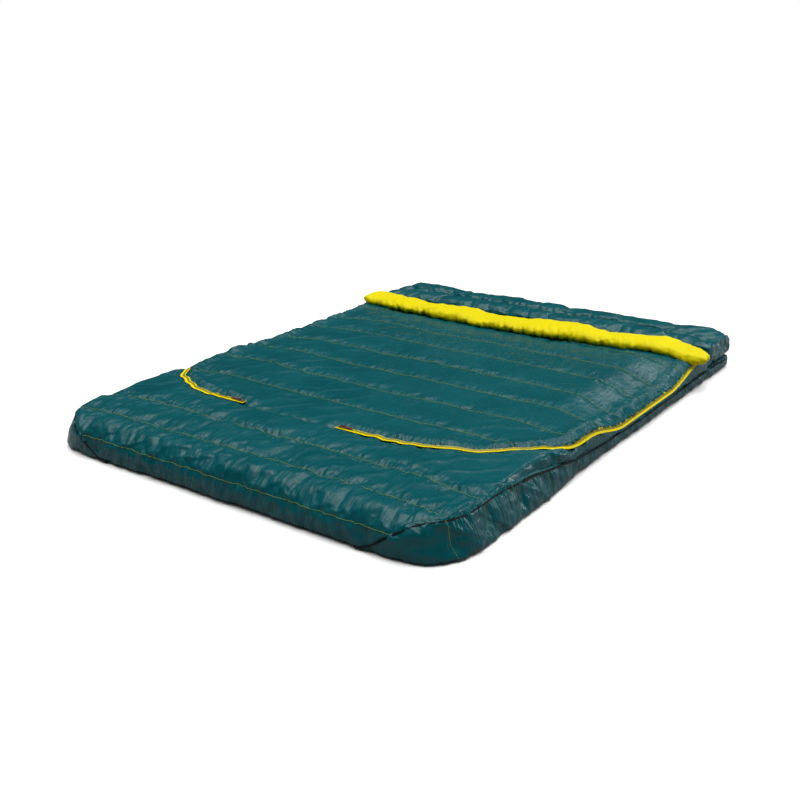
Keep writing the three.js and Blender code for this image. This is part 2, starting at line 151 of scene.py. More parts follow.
# %% Lamps
def lamp(name, place, aim, size_x, size_y, watts):
    bpy.ops.object.light_add(type="AREA", location=place)
    made = bpy.context.object
    made.name = name
    made.data.shape = "RECTANGLE"
    made.data.size = size_x
    made.data.size_y = size_y
    made.data.energy = watts
    turn = (Vector(aim) - Vector(place)).to_track_quat("-Z", "Y")
    made.matrix_world = Matrix.Translation(place) @ turn.to_matrix().to_4x4()


lamp("side_lamp", (3.4, 3.6, 1.0), (0.7, -0.5, 0.05), 0.35, 1.2, 36)
lamp("head_lamp", (0.6, 4.2, 3.0), (0.4, -0.2, 0.1), 1.4, 0.25, 22)

# %% [markdown]
# The driving sizes of the bag, in metres. Most are read from the frame's own pieces. The rows of
# stitching are about a hand's span apart and run from side to side.

# %% Sizes
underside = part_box("bottom_shell")
quilt_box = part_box("quilt_fill")
wall_x = underside[1][0]
foot_y = underside[0][1]
head_y = underside[1][1]
foot_corner = 0.17
quilt_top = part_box("quilt_shell")[1][2]
quilt_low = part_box("quilt_lining")[0][2]
fold_y = quilt_box[0][1]
zip_foot_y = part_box("zip_tape_inner_right")[0][1]
zip_head_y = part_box("zip_tape_inner_right")[1][1]
zip_tilt = math.radians(55)
tilt_from, tilt_over = 62, 24
zip_half = 0.020
fine_steps = 420
tape_sunk, wall_gap = 0.0012, 0.0006
zip_side_x = wall_x - wall_gap - zip_half * math.cos(zip_tilt)
zip_start_run = 0.110
zip_ends = {
    1: (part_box("zip_tape_inner_right")[0][0], 0.365),
    -1: (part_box("zip_tape_inner_left")[1][0], 0.235),
}
sides = (("left", -1), ("right", 1))
quilt_rows = [-0.435, -0.250, -0.080, 0.090, 0.265, 0.425, 0.600]
foot_rows = [-0.925, -0.775]
foot_end_row = 0.074
roll_at_foot, roll_at_sides = 0.070, 0.022
print("quilt from", round(fold_y, 3), "to", round(quilt_box[1][1], 3))

# %% [markdown]
# Helpers. Vertex places are read and written as one array, which is how a sculptor's small moves
# can be done in code. The noise is a smooth lattice of fixed random numbers.

# %% Helpers for vertices and noise
def deselect():
    bpy.ops.object.select_all(action="DESELECT")


def look_at_only(piece):
    deselect()
    piece.select_set(True)
    bpy.context.view_layer.objects.active = piece


def places(piece):
    flat = np.empty(len(piece.data.vertices) * 3)
    piece.data.vertices.foreach_get("co", flat)
    return flat.reshape(-1, 3)


def put(piece, points):
    piece.data.vertices.foreach_set("co", np.ascontiguousarray(points, dtype=float).ravel())
    piece.data.update()


def normals(piece):
    flat = np.empty(len(piece.data.vertices) * 3)
    piece.data.vertex_normals.foreach_get("vector", flat)
    return flat.reshape(-1, 3)


def eased(value):
    value = np.clip(value, 0, 1)
    return value * value * (3 - 2 * value)


slopes = np.random.default_rng(7).uniform(0, 2 * math.pi, (257, 257))


def noise(across, along, seed=0):
    """Smooth random swells between about -1 and 1, one to each whole number of either way."""
    across = np.asarray(across) + 17.3 * seed
    along = np.asarray(along) + 41.7 * seed
    column, row = np.floor(across).astype(int), np.floor(along).astype(int)
    x, y = across - column, along - row

    def corner(i, j):
        angle = slopes[(row + j) % 257, (column + i) % 257]
        return np.cos(angle) * (x - i) + np.sin(angle) * (y - j)

    low = corner(0, 0) * (1 - eased(x)) + corner(1, 0) * eased(x)
    high = corner(0, 1) * (1 - eased(x)) + corner(1, 1) * eased(x)
    return 1.6 * (low * (1 - eased(y)) + high * eased(y))


steps = np.linspace(0, 40, 2000)
print("noise runs from", *np.round([noise(steps, 0.5).min(), noise(steps, 0.5).max()], 2))

# %% [markdown]
# The two zips run from the fold line's ends straight outwards, round a quarter of an ellipse and
# up the sides. One function gives that line, with the way to the quilt and the way out of the
# bag. Pads, tapes, coils and sewn edges all ask it where the zip is.

# %% Line of a zip
def zip_line(side, steps=260):
    end_x, reach = zip_ends[side]
    arc_x = end_x + side * zip_start_run
    shoulder_y = zip_foot_y + reach
    reach_x = side * zip_side_x - arc_x
    turn = np.linspace(0, math.pi / 2, 400)
    arc = np.stack([arc_x + reach_x * np.sin(turn), shoulder_y - reach * np.cos(turn)], 1)
    start = np.array([[end_x, zip_foot_y]])
    run = np.array([[side * zip_side_x, zip_head_y]])
    line = np.concatenate([start, arc, run])
    bend = np.concatenate([[0], turn, [math.pi / 2]])
    length = np.concatenate([[0], np.cumsum(np.linalg.norm(np.diff(line, axis=0), axis=1))])
    even = np.linspace(0, length[-1], steps)
    x, y = np.interp(even, length, line[:, 0]), np.interp(even, length, line[:, 1])
    tilt = zip_tilt * eased((np.degrees(np.interp(even, length, bend)) - tilt_from) / tilt_over)
    way = np.stack([np.gradient(x), np.gradient(y)], 1)
    way /= np.linalg.norm(way, axis=1)[:, None]
    to_quilt = side * np.stack([-way[:, 1], way[:, 0], 0 * x], 1)
    up = np.array([0, 0, 1.0])
    cos, sin = np.cos(tilt)[:, None], np.sin(tilt)[:, None]
    middle = np.stack([x, y, quilt_top - tape_sunk - zip_half * np.sin(tilt)], 1)
    return middle, to_quilt * cos + up * sin, up * cos - to_quilt * sin


zip_middle, zip_inward, _ = (np.concatenate(pair) for pair in zip(zip_line(1), zip_line(-1)))
zip_steps = len(zip_middle) // 2
zip_run = np.concatenate([np.linspace(0, 1, zip_steps)] * 2)
zip_length = float(np.linalg.norm(np.diff(zip_middle[:zip_steps], axis=0), axis=1).sum())


def near_zip(points):
    """For each point: its distance in plan to the nearer zip, and that zip's nearest step."""
    distance, nearest = np.empty(len(points)), np.empty(len(points), dtype=int)
    at_once = 8000
    for start in range(0, len(points), at_once):
        part = points[start:start + at_once, None, :2] - zip_middle[None, :, :2]
        square = (part ** 2).sum(2)
        step = square.argmin(1)
        nearest[start:start + at_once] = step
        distance[start:start + at_once] = np.sqrt(square[np.arange(len(step)), step])
    return distance, nearest


def along_zip(step):
    """How far along its zip a step lies, in metres, with the left zip's after the right one's."""
    return zip_run[step] * zip_length + 5.0 * (step >= zip_steps)


print("a zip is", round(zip_length, 2), "m")

# %% [markdown]
# The outer wall runs straight up the sides and round two wide corners at the foot. Two short
# formulas say how deep inside it a point lies, and which way is out.

# %% Outer wall
def past_corner(points):
    """How far each point lies past the centre of its rounded corner, to the side and the foot."""
    centre_x, centre_y = wall_x - foot_corner, foot_y + foot_corner
    return np.abs(points[:, 0]) - centre_x, centre_y - points[:, 1]


def way_out(points):
    """Outward direction in plan from the bag's rounded outline, at each point of a wall."""
    x, y = past_corner(points)
    out_x = np.where(y > 0, np.maximum(x, 0), 1.0)
    out_y = np.where(y > 0, -y, 0.0)
    out = np.stack([out_x * np.sign(points[:, 0]), out_y], 1)
    return out / np.maximum(np.linalg.norm(out, axis=1), 1e-9)[:, None]


def depth_in(points):
    """How far inside the bag's outer wall each point lies."""
    x, y = past_corner(points)
    corner = foot_corner - np.hypot(np.maximum(x, 0), np.maximum(y, 0))
    return np.where((y > 0), corner, wall_x - np.abs(points[:, 0]))


print("the wall is", wall_x, "m from the middle")

# %% [markdown]
# Cloth never lies as drawn. The bag's sides slump between the shoulder and the collar, so the
# zip dips there, and the top has shallow swells. One function moves points from the drawn shape
# to the shape as laid. Every soft piece goes through it, so neighbours stay neighbours. It does
# nothing where the sliders are, because those are rigid.

# %% The bag as laid
slump = {1: 0.046, -1: 0.010}
slump_from_y, slump_full_y = -0.20, 0.06
slump_back_y, slump_end_y = 0.44, 0.70
side_band = (0.56, 0.76)
zip_wave, zip_wave_long, zip_calm = 0.007, 0.055, 0.12
flare_low, flare_high = 0.020, 0.012
swell_broad, swell_fine = 0.0045, 0.0030
lowest_z = 0.0006


def as_laid(points):
    laid = points.copy()
    x, y, z = points.T
    out, edge = way_out(points), 1 - eased((depth_in(points) - 0.03) / 0.08)
    flare = flare_low * (1 - eased(z / 0.07)) - flare_high * eased((z - 0.05) / 0.06)
    flare = flare * edge * eased((np.abs(out[:, 0]) - 0.2) / 0.5) * (1 - eased((y + 0.55) / 0.3))
    laid[:, :2] += out * flare[:, None]
    length = eased((y - slump_from_y) / (slump_full_y - slump_from_y))
    length = length * (1 - eased((y - slump_back_y) / (slump_end_y - slump_back_y)))
    side = eased((np.abs(x) - side_band[0]) / (side_band[1] - side_band[0]))
    side = side * np.where(x > 0, slump[1], slump[-1])
    laid[:, 2] -= length * side * eased((z - 0.035) / 0.065)
    distance, step = near_zip(points)
    top = eased((z - 0.06) / 0.05)
    off_zip = eased((distance - 0.02) / (zip_calm - 0.02))
    laid[:, 2] += swell_broad * top * off_zip * noise(x / 0.33, y / 0.45, 3)
    laid[:, 2] += swell_fine * top * off_zip * noise(x / 0.14 + y / 0.30, y / 0.22, 5)
    run = along_zip(step)
    loose = eased((zip_run[step] * zip_length - 0.10) / 0.05) * eased((-0.22 - y) / 0.10)
    sway = zip_wave * loose * top * (1 - off_zip) * noise(run / zip_wave_long, 0.5, 9)
    laid[:, :2] += zip_inward[step][:, :2] * sway[:, None]
    laid[:, 2] += sway * 0.5
    laid[:, 2] = np.maximum(laid[:, 2], lowest_z)
    return laid


print("the right side lies up to", slump[1], "m lower than drawn")

# %% [markdown]
# A padded panel starts as a copy of the filling that it hides, so that it has the right outline.
# Voxel remesh turns the copy into an even net of small squares, which is what cloth simulation
# needs. Then the sewn rows are pressed in, and the cloth is blown up between them with a little
# spare cloth, so that it puckers along the stitches as real quilting does. The first helpers make
# and shape the copies.

# %% Copies and blocks
def in_edit(piece, step, **settings):
    """Does one editing step on the whole piece."""
    look_at_only(piece)
    bpy.ops.object.mode_set(mode="EDIT")
    bpy.ops.mesh.select_all(action="SELECT")
    step(**settings)
    bpy.ops.object.mode_set(mode="OBJECT")


def copy_of(node, name):
    piece = bpy.data.objects.new(name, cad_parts[node].data.copy())
    scene.collection.objects.link(piece)
    in_edit(piece, bpy.ops.mesh.remove_doubles, threshold=1e-5)
    return piece


def block(name, low, high):
    middle = [(a + b) / 2 for a, b in zip(low, high)]
    deselect()
    bpy.ops.mesh.primitive_cube_add(size=1, location=middle)
    piece = bpy.context.object
    piece.name = name
    piece.scale = [b - a for a, b in zip(low, high)]
    bpy.ops.object.transform_apply(location=True, rotation=False, scale=True)
    return piece


def stretch_z(piece, low, high):
    points = places(piece)
    z = points[:, 2]
    points[:, 2] = low + (z - z.min()) * (high - low) / (z.max() - z.min())
    put(piece, points)


def thick_wall(node, name, thickness, more_up=0.0, more_down=0.0):
    """A copy of a thin wall, thicker inwards, and let past its upper or lower edge."""
    piece = copy_of(node, name)
    points = places(piece)
    _, place = np.unique(np.round(points[:, :2], 3), axis=0, return_inverse=True)
    place = place.ravel()
    lowest = np.full(place.max() + 1, 9.0)
    np.minimum.at(lowest, place, points[:, 2])
    lower = points[:, 2] < lowest[place] + 0.001
    below_top = points[:, 2] < quilt_top - 0.004
    points[:, 2] += np.where(lower, -more_down, np.where(below_top, more_up, 0.0))
    points[:, 2] = np.maximum(points[:, 2], 0.001)
    inner = depth_in(points) > 0.0006
    points[inner, :2] -= way_out(points)[inner] * thickness
    put(piece, points)
    return piece


def roll_edge(points):
    """Rolls the top's outer edge over, wide along the foot end and tight along the sides."""
    out, depth = way_out(points), depth_in(points)
    radius = roll_at_sides + (roll_at_foot - roll_at_sides) * np.clip(-out[:, 1], 0, 1) ** 6
    centre_z = quilt_top - radius
    inward, up = radius - depth, points[:, 2] - centre_z
    length = np.hypot(inward, up)
    beyond = (inward > 0) & (up > 0) & (length > radius)
    scale = np.where(beyond, radius / np.maximum(length, 1e-9), 1.0)
    rolled = points.copy()
    rolled[:, :2] -= out * (inward * (1 - scale))[:, None]
    rolled[:, 2] = np.where(beyond, centre_z + up * scale, points[:, 2])
    return rolled


def reach_over_fold(piece, far):
    """Moves the edge that lies at the fold line on by this much, to meet the next panel."""
    points = places(piece)
    at_fold = np.abs(points[:, 1] - fold_y) < 0.004
    points[at_fold, 1] += far
    put(piece, points)
    print(piece.name, "reaches over the fold with", int(at_fold.sum()), "points")


def join(pieces, name):
    deselect()
    for piece in pieces:
        piece.select_set(True)
    bpy.context.view_layer.objects.active = pieces[0]
    bpy.ops.object.join()
    pieces[0].name = name
    return pieces[0]


print("pads can be copied, made thicker, rolled and joined")

# %% [markdown]
# Next come the even net, the sewn rows and the puffing itself. The simulation is short, has no
# gravity, and its result is capped, so a pad never swells past what its stitches allow.

# %% Rows and puffing
def use(piece, kind, **values):
    """Adds a modifier with these settings and applies it."""
    look_at_only(piece)
    modifier = piece.modifiers.new(kind.lower(), kind)
    for key, value in values.items():
        setattr(modifier, key, value)
    bpy.ops.object.modifier_apply(modifier=modifier.name)


def finer(piece, levels=1):
    use(piece, "SUBSURF", levels=levels, render_levels=levels)


def even_net(piece, square, rounds):
    use(piece, "REMESH", mode="VOXEL", voxel_size=square)
    use(piece, "SMOOTH", factor=0.5, iterations=rounds)


row_wander, row_jitter, row_bend = 0.006, 0.0025, 0.035


def row_line(x, row_y, number):
    """A sewn row is nearly straight: it wanders a little and bends near the sides."""
    wander = row_wander * noise(x / 0.30, number, 11) + row_jitter * noise(x / 0.06, number, 12)
    return row_y + wander - row_bend * eased((np.abs(x) - 0.52) / 0.30)


def to_rows(points, rows):
    nearest = np.full(len(points), 9.0)
    for row_y in rows:
        line = row_line(points[:, 0], row_y, row_y * 10)
        nearest = np.minimum(nearest, np.abs(points[:, 1] - line))
    return nearest


def press_rows(piece, distance, depth, width=0.008):
    points, out = places(piece), normals(piece)
    points -= out * (depth * np.exp(-(distance / width) ** 2))[:, None]
    put(piece, points)


thin_cloth = {
    "vertex_group_mass": "sewn", "quality": 4, "mass": 0.15, "tension_stiffness": 12,
    "compression_stiffness": 12, "shear_stiffness": 4, "bending_stiffness": 0.15,
    "air_damping": 2, "use_pressure": True,
}


def puff(piece, sewn, pressure, spare, cap, frames=18):
    """Blows the piece up between its sewn vertices, and lets no vertex move past the cap."""
    rest = places(piece)
    group = piece.vertex_groups.new(name="sewn")
    group.add(np.flatnonzero(sewn).tolist(), 1.0, "REPLACE")
    look_at_only(piece)
    modifier = piece.modifiers.new("cloth", "CLOTH")
    cloth = modifier.settings
    for key, value in thin_cloth.items():
        setattr(cloth, key, value)
    cloth.uniform_pressure_force = pressure
    cloth.shrink_min = -spare
    cloth.effector_weights.gravity = 0
    modifier.collision_settings.use_collision = False
    for number in range(1, frames + 1):
        scene.frame_set(number)
    bpy.ops.object.modifier_apply(modifier=modifier.name)
    scene.frame_set(1)
    move = places(piece) - rest
    far = np.linalg.norm(move, axis=1)
    move *= (np.minimum(far, cap) / np.maximum(far, 1e-9))[:, None]
    put(piece, rest + move)
    piece.vertex_groups.clear()
    print(piece.name, "puffed by up to", round(float(np.minimum(far, cap).max()) * 1000), "mm")


print("a row wanders by up to", row_wander + row_jitter, "m")

# %% [markdown]
# A simulated pad is too smooth. Wrinkles are added as small moves along the normals: ridges that
# leave each seam, long slanting creases, and short folds where the cloth is gathered at a zip.

# %% Wrinkles
def wrinkle(piece, distance, sewn=0.0022, crease=0.0022, crumple=0.0012, calm=None):
    """Adds what a sewn and often rolled-up pad keeps: short ridges that run away from each sewn
    row, long slanting creases, and small crumples. calm is 1 where the cloth lies smooth."""
    points, out = places(piece), normals(piece)
    x, y, z = points.T
    wild = 1.0 if calm is None else 1.0 - calm
    bent = 0.014 * noise(x / 0.07, y / 0.06 + z / 0.05, 27)
    slant = x + 0.45 * y + 0.25 * z + bent
    across = y - z + 2 * bent
    ridges = 1 - 2.6 * np.abs(noise(slant / 0.026, across / 0.10, 21))
    ridges += 0.5 * noise(slant / 0.012, across / 0.06, 22)
    reach = 0.026 + 0.014 * noise(x / 0.09, y / 0.30, 26)
    height = sewn * np.exp(-distance / reach) * ridges * (0.55 + 0.45 * wild)
    turned, other = 0.72 * x + 0.70 * y, -0.70 * x + 0.72 * y + 1.5 * bent
    fold = 1 - np.abs(noise(other / 0.085 + z / 0.06, turned / 0.36, 23)) * 3.2
    height += crease * np.maximum(fold, -0.3) * wild
    height += crumple * noise(x / 0.040 + z / 0.04, y / 0.055 + z / 0.05, 24) * wild
    points += out * height[:, None]
    put(piece, points)


def gather_at_zip(piece, lean, rise, ridge, reach=0.034, lowest_fold=-0.25):
    """The cloth is gathered where it is sewn to a zip. Its edge leans over the tape, stands up
    behind it, and breaks into short folds square to the zip."""
    points, out = places(piece), normals(piece)
    distance, step = near_zip(points)
    top = eased((points[:, 2] - 0.050) / 0.040)
    near = np.exp(-((distance - 0.022) / reach) ** 2) * top
    behind = np.exp(-((distance - 0.040) / 0.016) ** 2) * top
    run = along_zip(step)
    run = run + 0.010 * noise(points[:, 0] / 0.05, points[:, 1] / 0.05, 34) + 0.25 * distance
    folds = 1 - 2.6 * np.abs(noise(run / 0.019, distance / 0.10, 31))
    folds = np.maximum(folds + 0.4 * noise(run / 0.009, distance / 0.05, 32), lowest_fold)
    swell = 0.6 + 0.9 * np.abs(noise(run / 0.09, 0.3, 33))
    to_line = zip_middle[step][:, :2] - points[:, :2]
    to_line /= np.maximum(np.linalg.norm(to_line, axis=1), 1e-6)[:, None]
    upper = eased((normals(piece)[:, 2] + 0.2) / 0.6)
    points[:, :2] += to_line * (lean * near * upper * (1 + 0.08 * folds))[:, None]
    points += out * (ridge * near * folds * swell * upper)[:, None]
    points[:, 2] += rise * behind * upper * swell
    put(piece, points)


print("wrinkles start at the rows and the zips")

# %% [markdown]
# The finest puckers are drawn by the paint. It needs to know how far each place lies along a seam
# and away from it, which a UV map in metres can tell. Last, each pad gets its paint, and its body
# where one is given.

# %% Maps and finishing
def face_corners(mesh):
    """The vertex that each corner of each face stands on."""
    corner = np.empty(len(mesh.loops), dtype=int)
    mesh.loops.foreach_get("vertex_index", corner)
    return corner


def cloth_map(piece):
    """A UV map in metres, laid on from the top, the side or the end, as each face looks."""
    mesh = piece.data
    face_normals = np.empty(len(mesh.polygons) * 3)
    mesh.polygons.foreach_get("normal", face_normals)
    totals = np.empty(len(mesh.polygons), dtype=int)
    mesh.polygons.foreach_get("loop_total", totals)
    axis = np.repeat(np.abs(face_normals.reshape(-1, 3)).argmax(1), totals)
    point = places(piece)[face_corners(mesh)]
    u = np.where(axis == 0, point[:, 1], point[:, 0])
    v = np.where(axis == 2, point[:, 1], point[:, 2])
    mesh.uv_layers.new(name="cloth").data.foreach_set("uv", np.stack([u, v], 1).ravel())


def upper_edge(y, z, bin_long=0.02):
    """How high a wall's points reach at each y."""
    place = np.rint(y / bin_long).astype(int)
    place -= place.min()
    highest = np.zeros(place.max() + 1)
    np.maximum.at(highest, place, z)
    return np.interp(y, np.arange(len(highest)) * bin_long + y.min(), highest)


def pucker_map(piece, name, along, away):
    """One more UV map, for the finest puckers: how far along a seam, and how far away from it."""
    uv = piece.data.uv_layers.new(name=name)
    uv.data.foreach_set("uv", np.stack([along, away], 1)[face_corners(piece.data)].ravel())


def finish_pad(piece, body, slot, paints, fill, *nodes):
    """Lays the pad as the bag lies, paints it, hangs it on its body if given, hides its frame
    pieces.
    """
    put(piece, as_laid(places(piece)))
    look_at_only(piece)
    bpy.ops.object.shade_smooth()
    cloth_map(piece)
    piece.data.materials.clear()
    for paint in paints:
        piece.data.materials.append(paint)
    if body:
        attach(piece, body)
    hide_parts(*nodes)
    print(piece.name, "has", len(piece.data.polygons), "faces")


def second_paint(piece, chosen):
    """Gives its second paint to the faces that are chosen by their middle and their normal."""
    for face in piece.data.polygons:
        face.material_index = int(chosen(face.center, face.normal))


print("UV maps are in metres")

# %% [markdown]
# Finishes. Both cloths are woven, so they share one group for the weave, for the fine crinkles
# that a rolled-up bag keeps, and for the puckers that run square to a zip or a sewn row. It gives
# a height for the bump and a mask for gloss and colour.

# %% Group for woven cloth
def set_inputs(node, **values):
    for key, value in values.items():
        node.inputs[key.replace("_", " ")].default_value = value


def maths(tree, operation, first, second=None):
    node = tree.nodes.new("ShaderNodeMath")
    node.operation = operation
    for socket, value in zip(node.inputs, (first, second)):
        if value is None:
            continue
        if isinstance(value, (int, float)):
            socket.default_value = value
        else:
            tree.links.new(value, socket)
    return node.outputs[0]


def noise_node(tree, vector, **values):
    node = tree.nodes.new("ShaderNodeTexNoise")
    set_inputs(node, **values)
    tree.links.new(vector, node.inputs["Vector"])
    return node


pucker_step, pucker_long, pucker_fade = 0.012, 0.065, 0.055


def woven_cloth_group():
    tree = bpy.data.node_groups.new("woven_cloth", "ShaderNodeTree")
    for name in ("Crinkle Size", "Crinkle Depth", "Grid Size", "Grid Depth", "Pucker Depth"):
        tree.interface.new_socket(name, in_out="INPUT", socket_type="NodeSocketFloat")
    for name in ("Height", "Patches"):
        tree.interface.new_socket(name, in_out="OUTPUT", socket_type="NodeSocketFloat")
    given = tree.nodes.new("NodeGroupInput")
    out = tree.nodes.new("NodeGroupOutput")
    link = tree.links.new

    def do(operation, *values):
        return maths(tree, operation, *values)

    place = tree.nodes.new("ShaderNodeTexCoord").outputs["Object"]
    inverse = do("DIVIDE", 1.0, given.outputs["Crinkle Size"])

    creases = noise_node(tree, place, Detail=3.0, Roughness=0.55, Distortion=0.6)
    creases.noise_type = "RIDGED_MULTIFRACTAL"
    link(inverse, creases.inputs["Scale"])
    swell = noise_node(tree, place, Detail=2.0, Roughness=0.5, Distortion=0.3)
    link(do("MULTIPLY", inverse, 0.45), swell.inputs["Scale"])

    uv = tree.nodes.new("ShaderNodeUVMap")
    uv.uv_map = "cloth"
    split = tree.nodes.new("ShaderNodeSeparateXYZ")
    link(uv.outputs["UV"], split.inputs[0])
    lines = []
    for axis in ("X", "Y"):
        cell = do("DIVIDE", split.outputs[axis], given.outputs["Grid Size"])
        off = do("ABSOLUTE", do("SUBTRACT", do("FRACT", cell), 0.5))
        lines.append(do("GREATER_THAN", off, 0.42))
    grid = do("MAXIMUM", lines[0], lines[1])

    heights = []
    for name in ("zip_pucker", "row_pucker"):
        seam = tree.nodes.new("ShaderNodeUVMap")
        seam.uv_map = name
        from_seam = tree.nodes.new("ShaderNodeSeparateXYZ")
        link(seam.outputs["UV"], from_seam.inputs[0])
        along, away = from_seam.outputs["X"], from_seam.outputs["Y"]
        stretched = tree.nodes.new("ShaderNodeCombineXYZ")
        link(do("MULTIPLY", along, 1 / pucker_step), stretched.inputs["X"])
        link(do("MULTIPLY", away, 1 / pucker_long), stretched.inputs["Y"])
        puckers = noise_node(tree, stretched.outputs[0], Scale=1.0, Detail=2.5, Roughness=0.55,
                             Distortion=0.35)
        fading = do("EXPONENT", do("MULTIPLY", away, -1 / pucker_fade))
        heights.append(do("MULTIPLY", puckers.outputs["Fac"], fading))
    gathered = do("MULTIPLY", do("ADD", *heights), given.outputs["Pucker Depth"])

    bent = do("MULTIPLY", creases.outputs["Fac"], given.outputs["Crinkle Depth"])
    wide = do("MULTIPLY", swell.outputs["Fac"], given.outputs["Crinkle Depth"])
    woven = do("MULTIPLY", grid, given.outputs["Grid Depth"])
    total = do("ADD", do("ADD", bent, wide), do("ADD", woven, gathered))
    link(total, out.inputs["Height"])

    broad = noise_node(tree, place, Scale=5.0, Detail=4.0, Roughness=0.6, Distortion=0.8)
    link(broad.outputs["Fac"], out.inputs["Patches"])
    return tree


woven_cloth = woven_cloth_group()
print(woven_cloth.name, "has", len(woven_cloth.nodes), "nodes")

# %% [markdown]
# A paint takes the mask and the height from the group. The shell is thin glossy nylon, so its
# colour is deep and its gloss changes in patches. The lining and the tapes are matt.

# %% Paints
def worn_surface(shader, tree, mask, dark, light, rough, rough_range, height, distance):
    """Leads a mask to the colour and the gloss, and a height to the bump."""
    colour = tree.nodes.new("ShaderNodeMix")
    colour.data_type = "RGBA"
    colour.inputs["A"].default_value = (*dark, 1)
    colour.inputs["B"].default_value = (*light, 1)
    tree.links.new(mask, colour.inputs["Factor"])
    tree.links.new(colour.outputs["Result"], shader.inputs["Base Color"])
    gloss = maths(tree, "MULTIPLY_ADD", mask, rough_range)
    gloss.node.inputs[2].default_value = rough
    tree.links.new(gloss, shader.inputs["Roughness"])
    bump = tree.nodes.new("ShaderNodeBump")
    bump.inputs["Distance"].default_value = distance
    tree.links.new(height, bump.inputs["Height"])
    tree.links.new(bump.outputs["Normal"], shader.inputs["Normal"])


def cloth_paint(name, dark, light, rough, rough_range, crinkle, grid, pucker=0.0, specular=0.5):
    """Woven cloth between two colours: crinkle and grid are (size, depth) in metres."""
    paint = bpy.data.materials.new(name)
    paint.use_nodes = True
    tree = paint.node_tree
    shader = tree.nodes["Principled BSDF"]
    cloth = tree.nodes.new("ShaderNodeGroup")
    cloth.node_tree = woven_cloth
    set_inputs(cloth, Crinkle_Size=crinkle[0], Crinkle_Depth=crinkle[1])
    set_inputs(cloth, Grid_Size=grid[0], Grid_Depth=grid[1], Pucker_Depth=pucker)
    worn_surface(shader, tree, cloth.outputs["Patches"], dark, light, rough, rough_range,
                 cloth.outputs["Height"], distance=1.0)
    shader.inputs["Specular IOR Level"].default_value = specular
    return paint


shell_paint = cloth_paint(
    "teal_shell", (0.000, 0.056, 0.068), (0.002, 0.094, 0.108), 0.12, 0.26,
    (0.020, 0.0010), (0.005, 0.00004), pucker=0.0105, specular=0.22,
)
lining_paint = cloth_paint(
    "lime_lining", (0.60, 0.51, 0.0), (0.74, 0.64, 0.0), 0.50, 0.15,
    (0.020, 0.0016), (0.004, 0.00004), specular=0.10,
)
tape_paint = cloth_paint(
    "lime_tape", (0.70, 0.56, 0.0), (0.80, 0.66, 0.0), 0.6, 0.1,
    (0.010, 0.0001), (0.0012, 0.00012), specular=0.2,
)
print("paints:", [p.name for p in (shell_paint, lining_paint, tape_paint)])

# %% [markdown]
# The quilt is the largest panel. Its sewn rows and its edges along the zips are held, and the
# cloth between them is puffed. Its under face is the lime lining. Towards the collar's right end
# the cloth lies smooth, and elsewhere it keeps the creases of its stuff sack.

# %% Quilt
pad_square = 0.010
fold_overlap = 0.009
held_width, row_depth, held_at_zip = 0.005, 0.0035, 0.028
quilt = copy_of("quilt_fill", "quilt_pad")
reach_over_fold(quilt, -fold_overlap)
stretch_z(quilt, quilt_low + 0.002, quilt_top - 0.003)
even_net(quilt, pad_square, 8)
apart = to_rows(places(quilt), quilt_rows)
press_rows(quilt, apart, 0.0025)
edge = (near_zip(places(quilt))[0] < held_at_zip) | (places(quilt)[:, 1] < fold_y + 0.006)
puff(quilt, (apart < held_width) | edge, pressure=3.0, spare=0.03, cap=0.0055)
finer(quilt)
points = places(quilt)
calm = 0.25 + 0.6 * eased((points[:, 0] + 0.55) / 0.60) * eased((points[:, 1] + 0.45) / 0.35)
wrinkle(quilt, to_rows(points, quilt_rows), sewn=0.0016, crease=0.0032, calm=calm)
gather_at_zip(quilt, lean=0.010, rise=0.009, ridge=0.0045)
corners = np.array([face.vertices[0] for face in quilt.data.polygons])
facing = np.array([face.normal.z for face in quilt.data.polygons])
points = places(quilt)
lined = (points[:, 2] < quilt_low + 0.009) & (near_zip(points)[0] > 0.034)
lined = lined[corners] & (facing < -0.2)
distance, step = near_zip(points)
pucker_map(quilt, "zip_pucker", along_zip(step), distance)
pucker_map(quilt, "row_pucker", points[:, 0], to_rows(points, quilt_rows) + 0.035)
finish_pad(quilt, None, "shell", [shell_paint, lining_paint], 0.5,
           "quilt_shell", "quilt_fill", "quilt_lining")
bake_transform(quilt)
quilt.data.polygons.foreach_set("material_index", lined.astype(np.int32))

# %% [markdown]
# The footbox pad is the closed foot of the bag: its top, its end wall, and the two strips that
# run up outside the zips. Copies of those pieces are thickened, joined and remeshed into one,
# and the top is rolled over into the end wall.

# %% Footbox
seam_overlap, zip_overlap = 0.009, 0.018
foot_top = copy_of("footbox_fill", "foot_top")
reach_over_fold(foot_top, fold_overlap)
stretch_z(foot_top, quilt_low + 0.002, quilt_top - 0.002)
foot_end = block("foot_end", (-0.53, foot_y, 0.003), (0.53, foot_y + 0.020, quilt_top - 0.002))
strips = [
    thick_wall(f"side_panel_{name}", name, 0.018, zip_overlap, seam_overlap)
    for name in ("left", "right")
]
footbox = join([foot_top, foot_end, *strips], "footbox_pad")
even_net(footbox, pad_square, 8)
put(footbox, roll_edge(places(footbox)))
zip_below, drawn_up = 0.010, 0.035


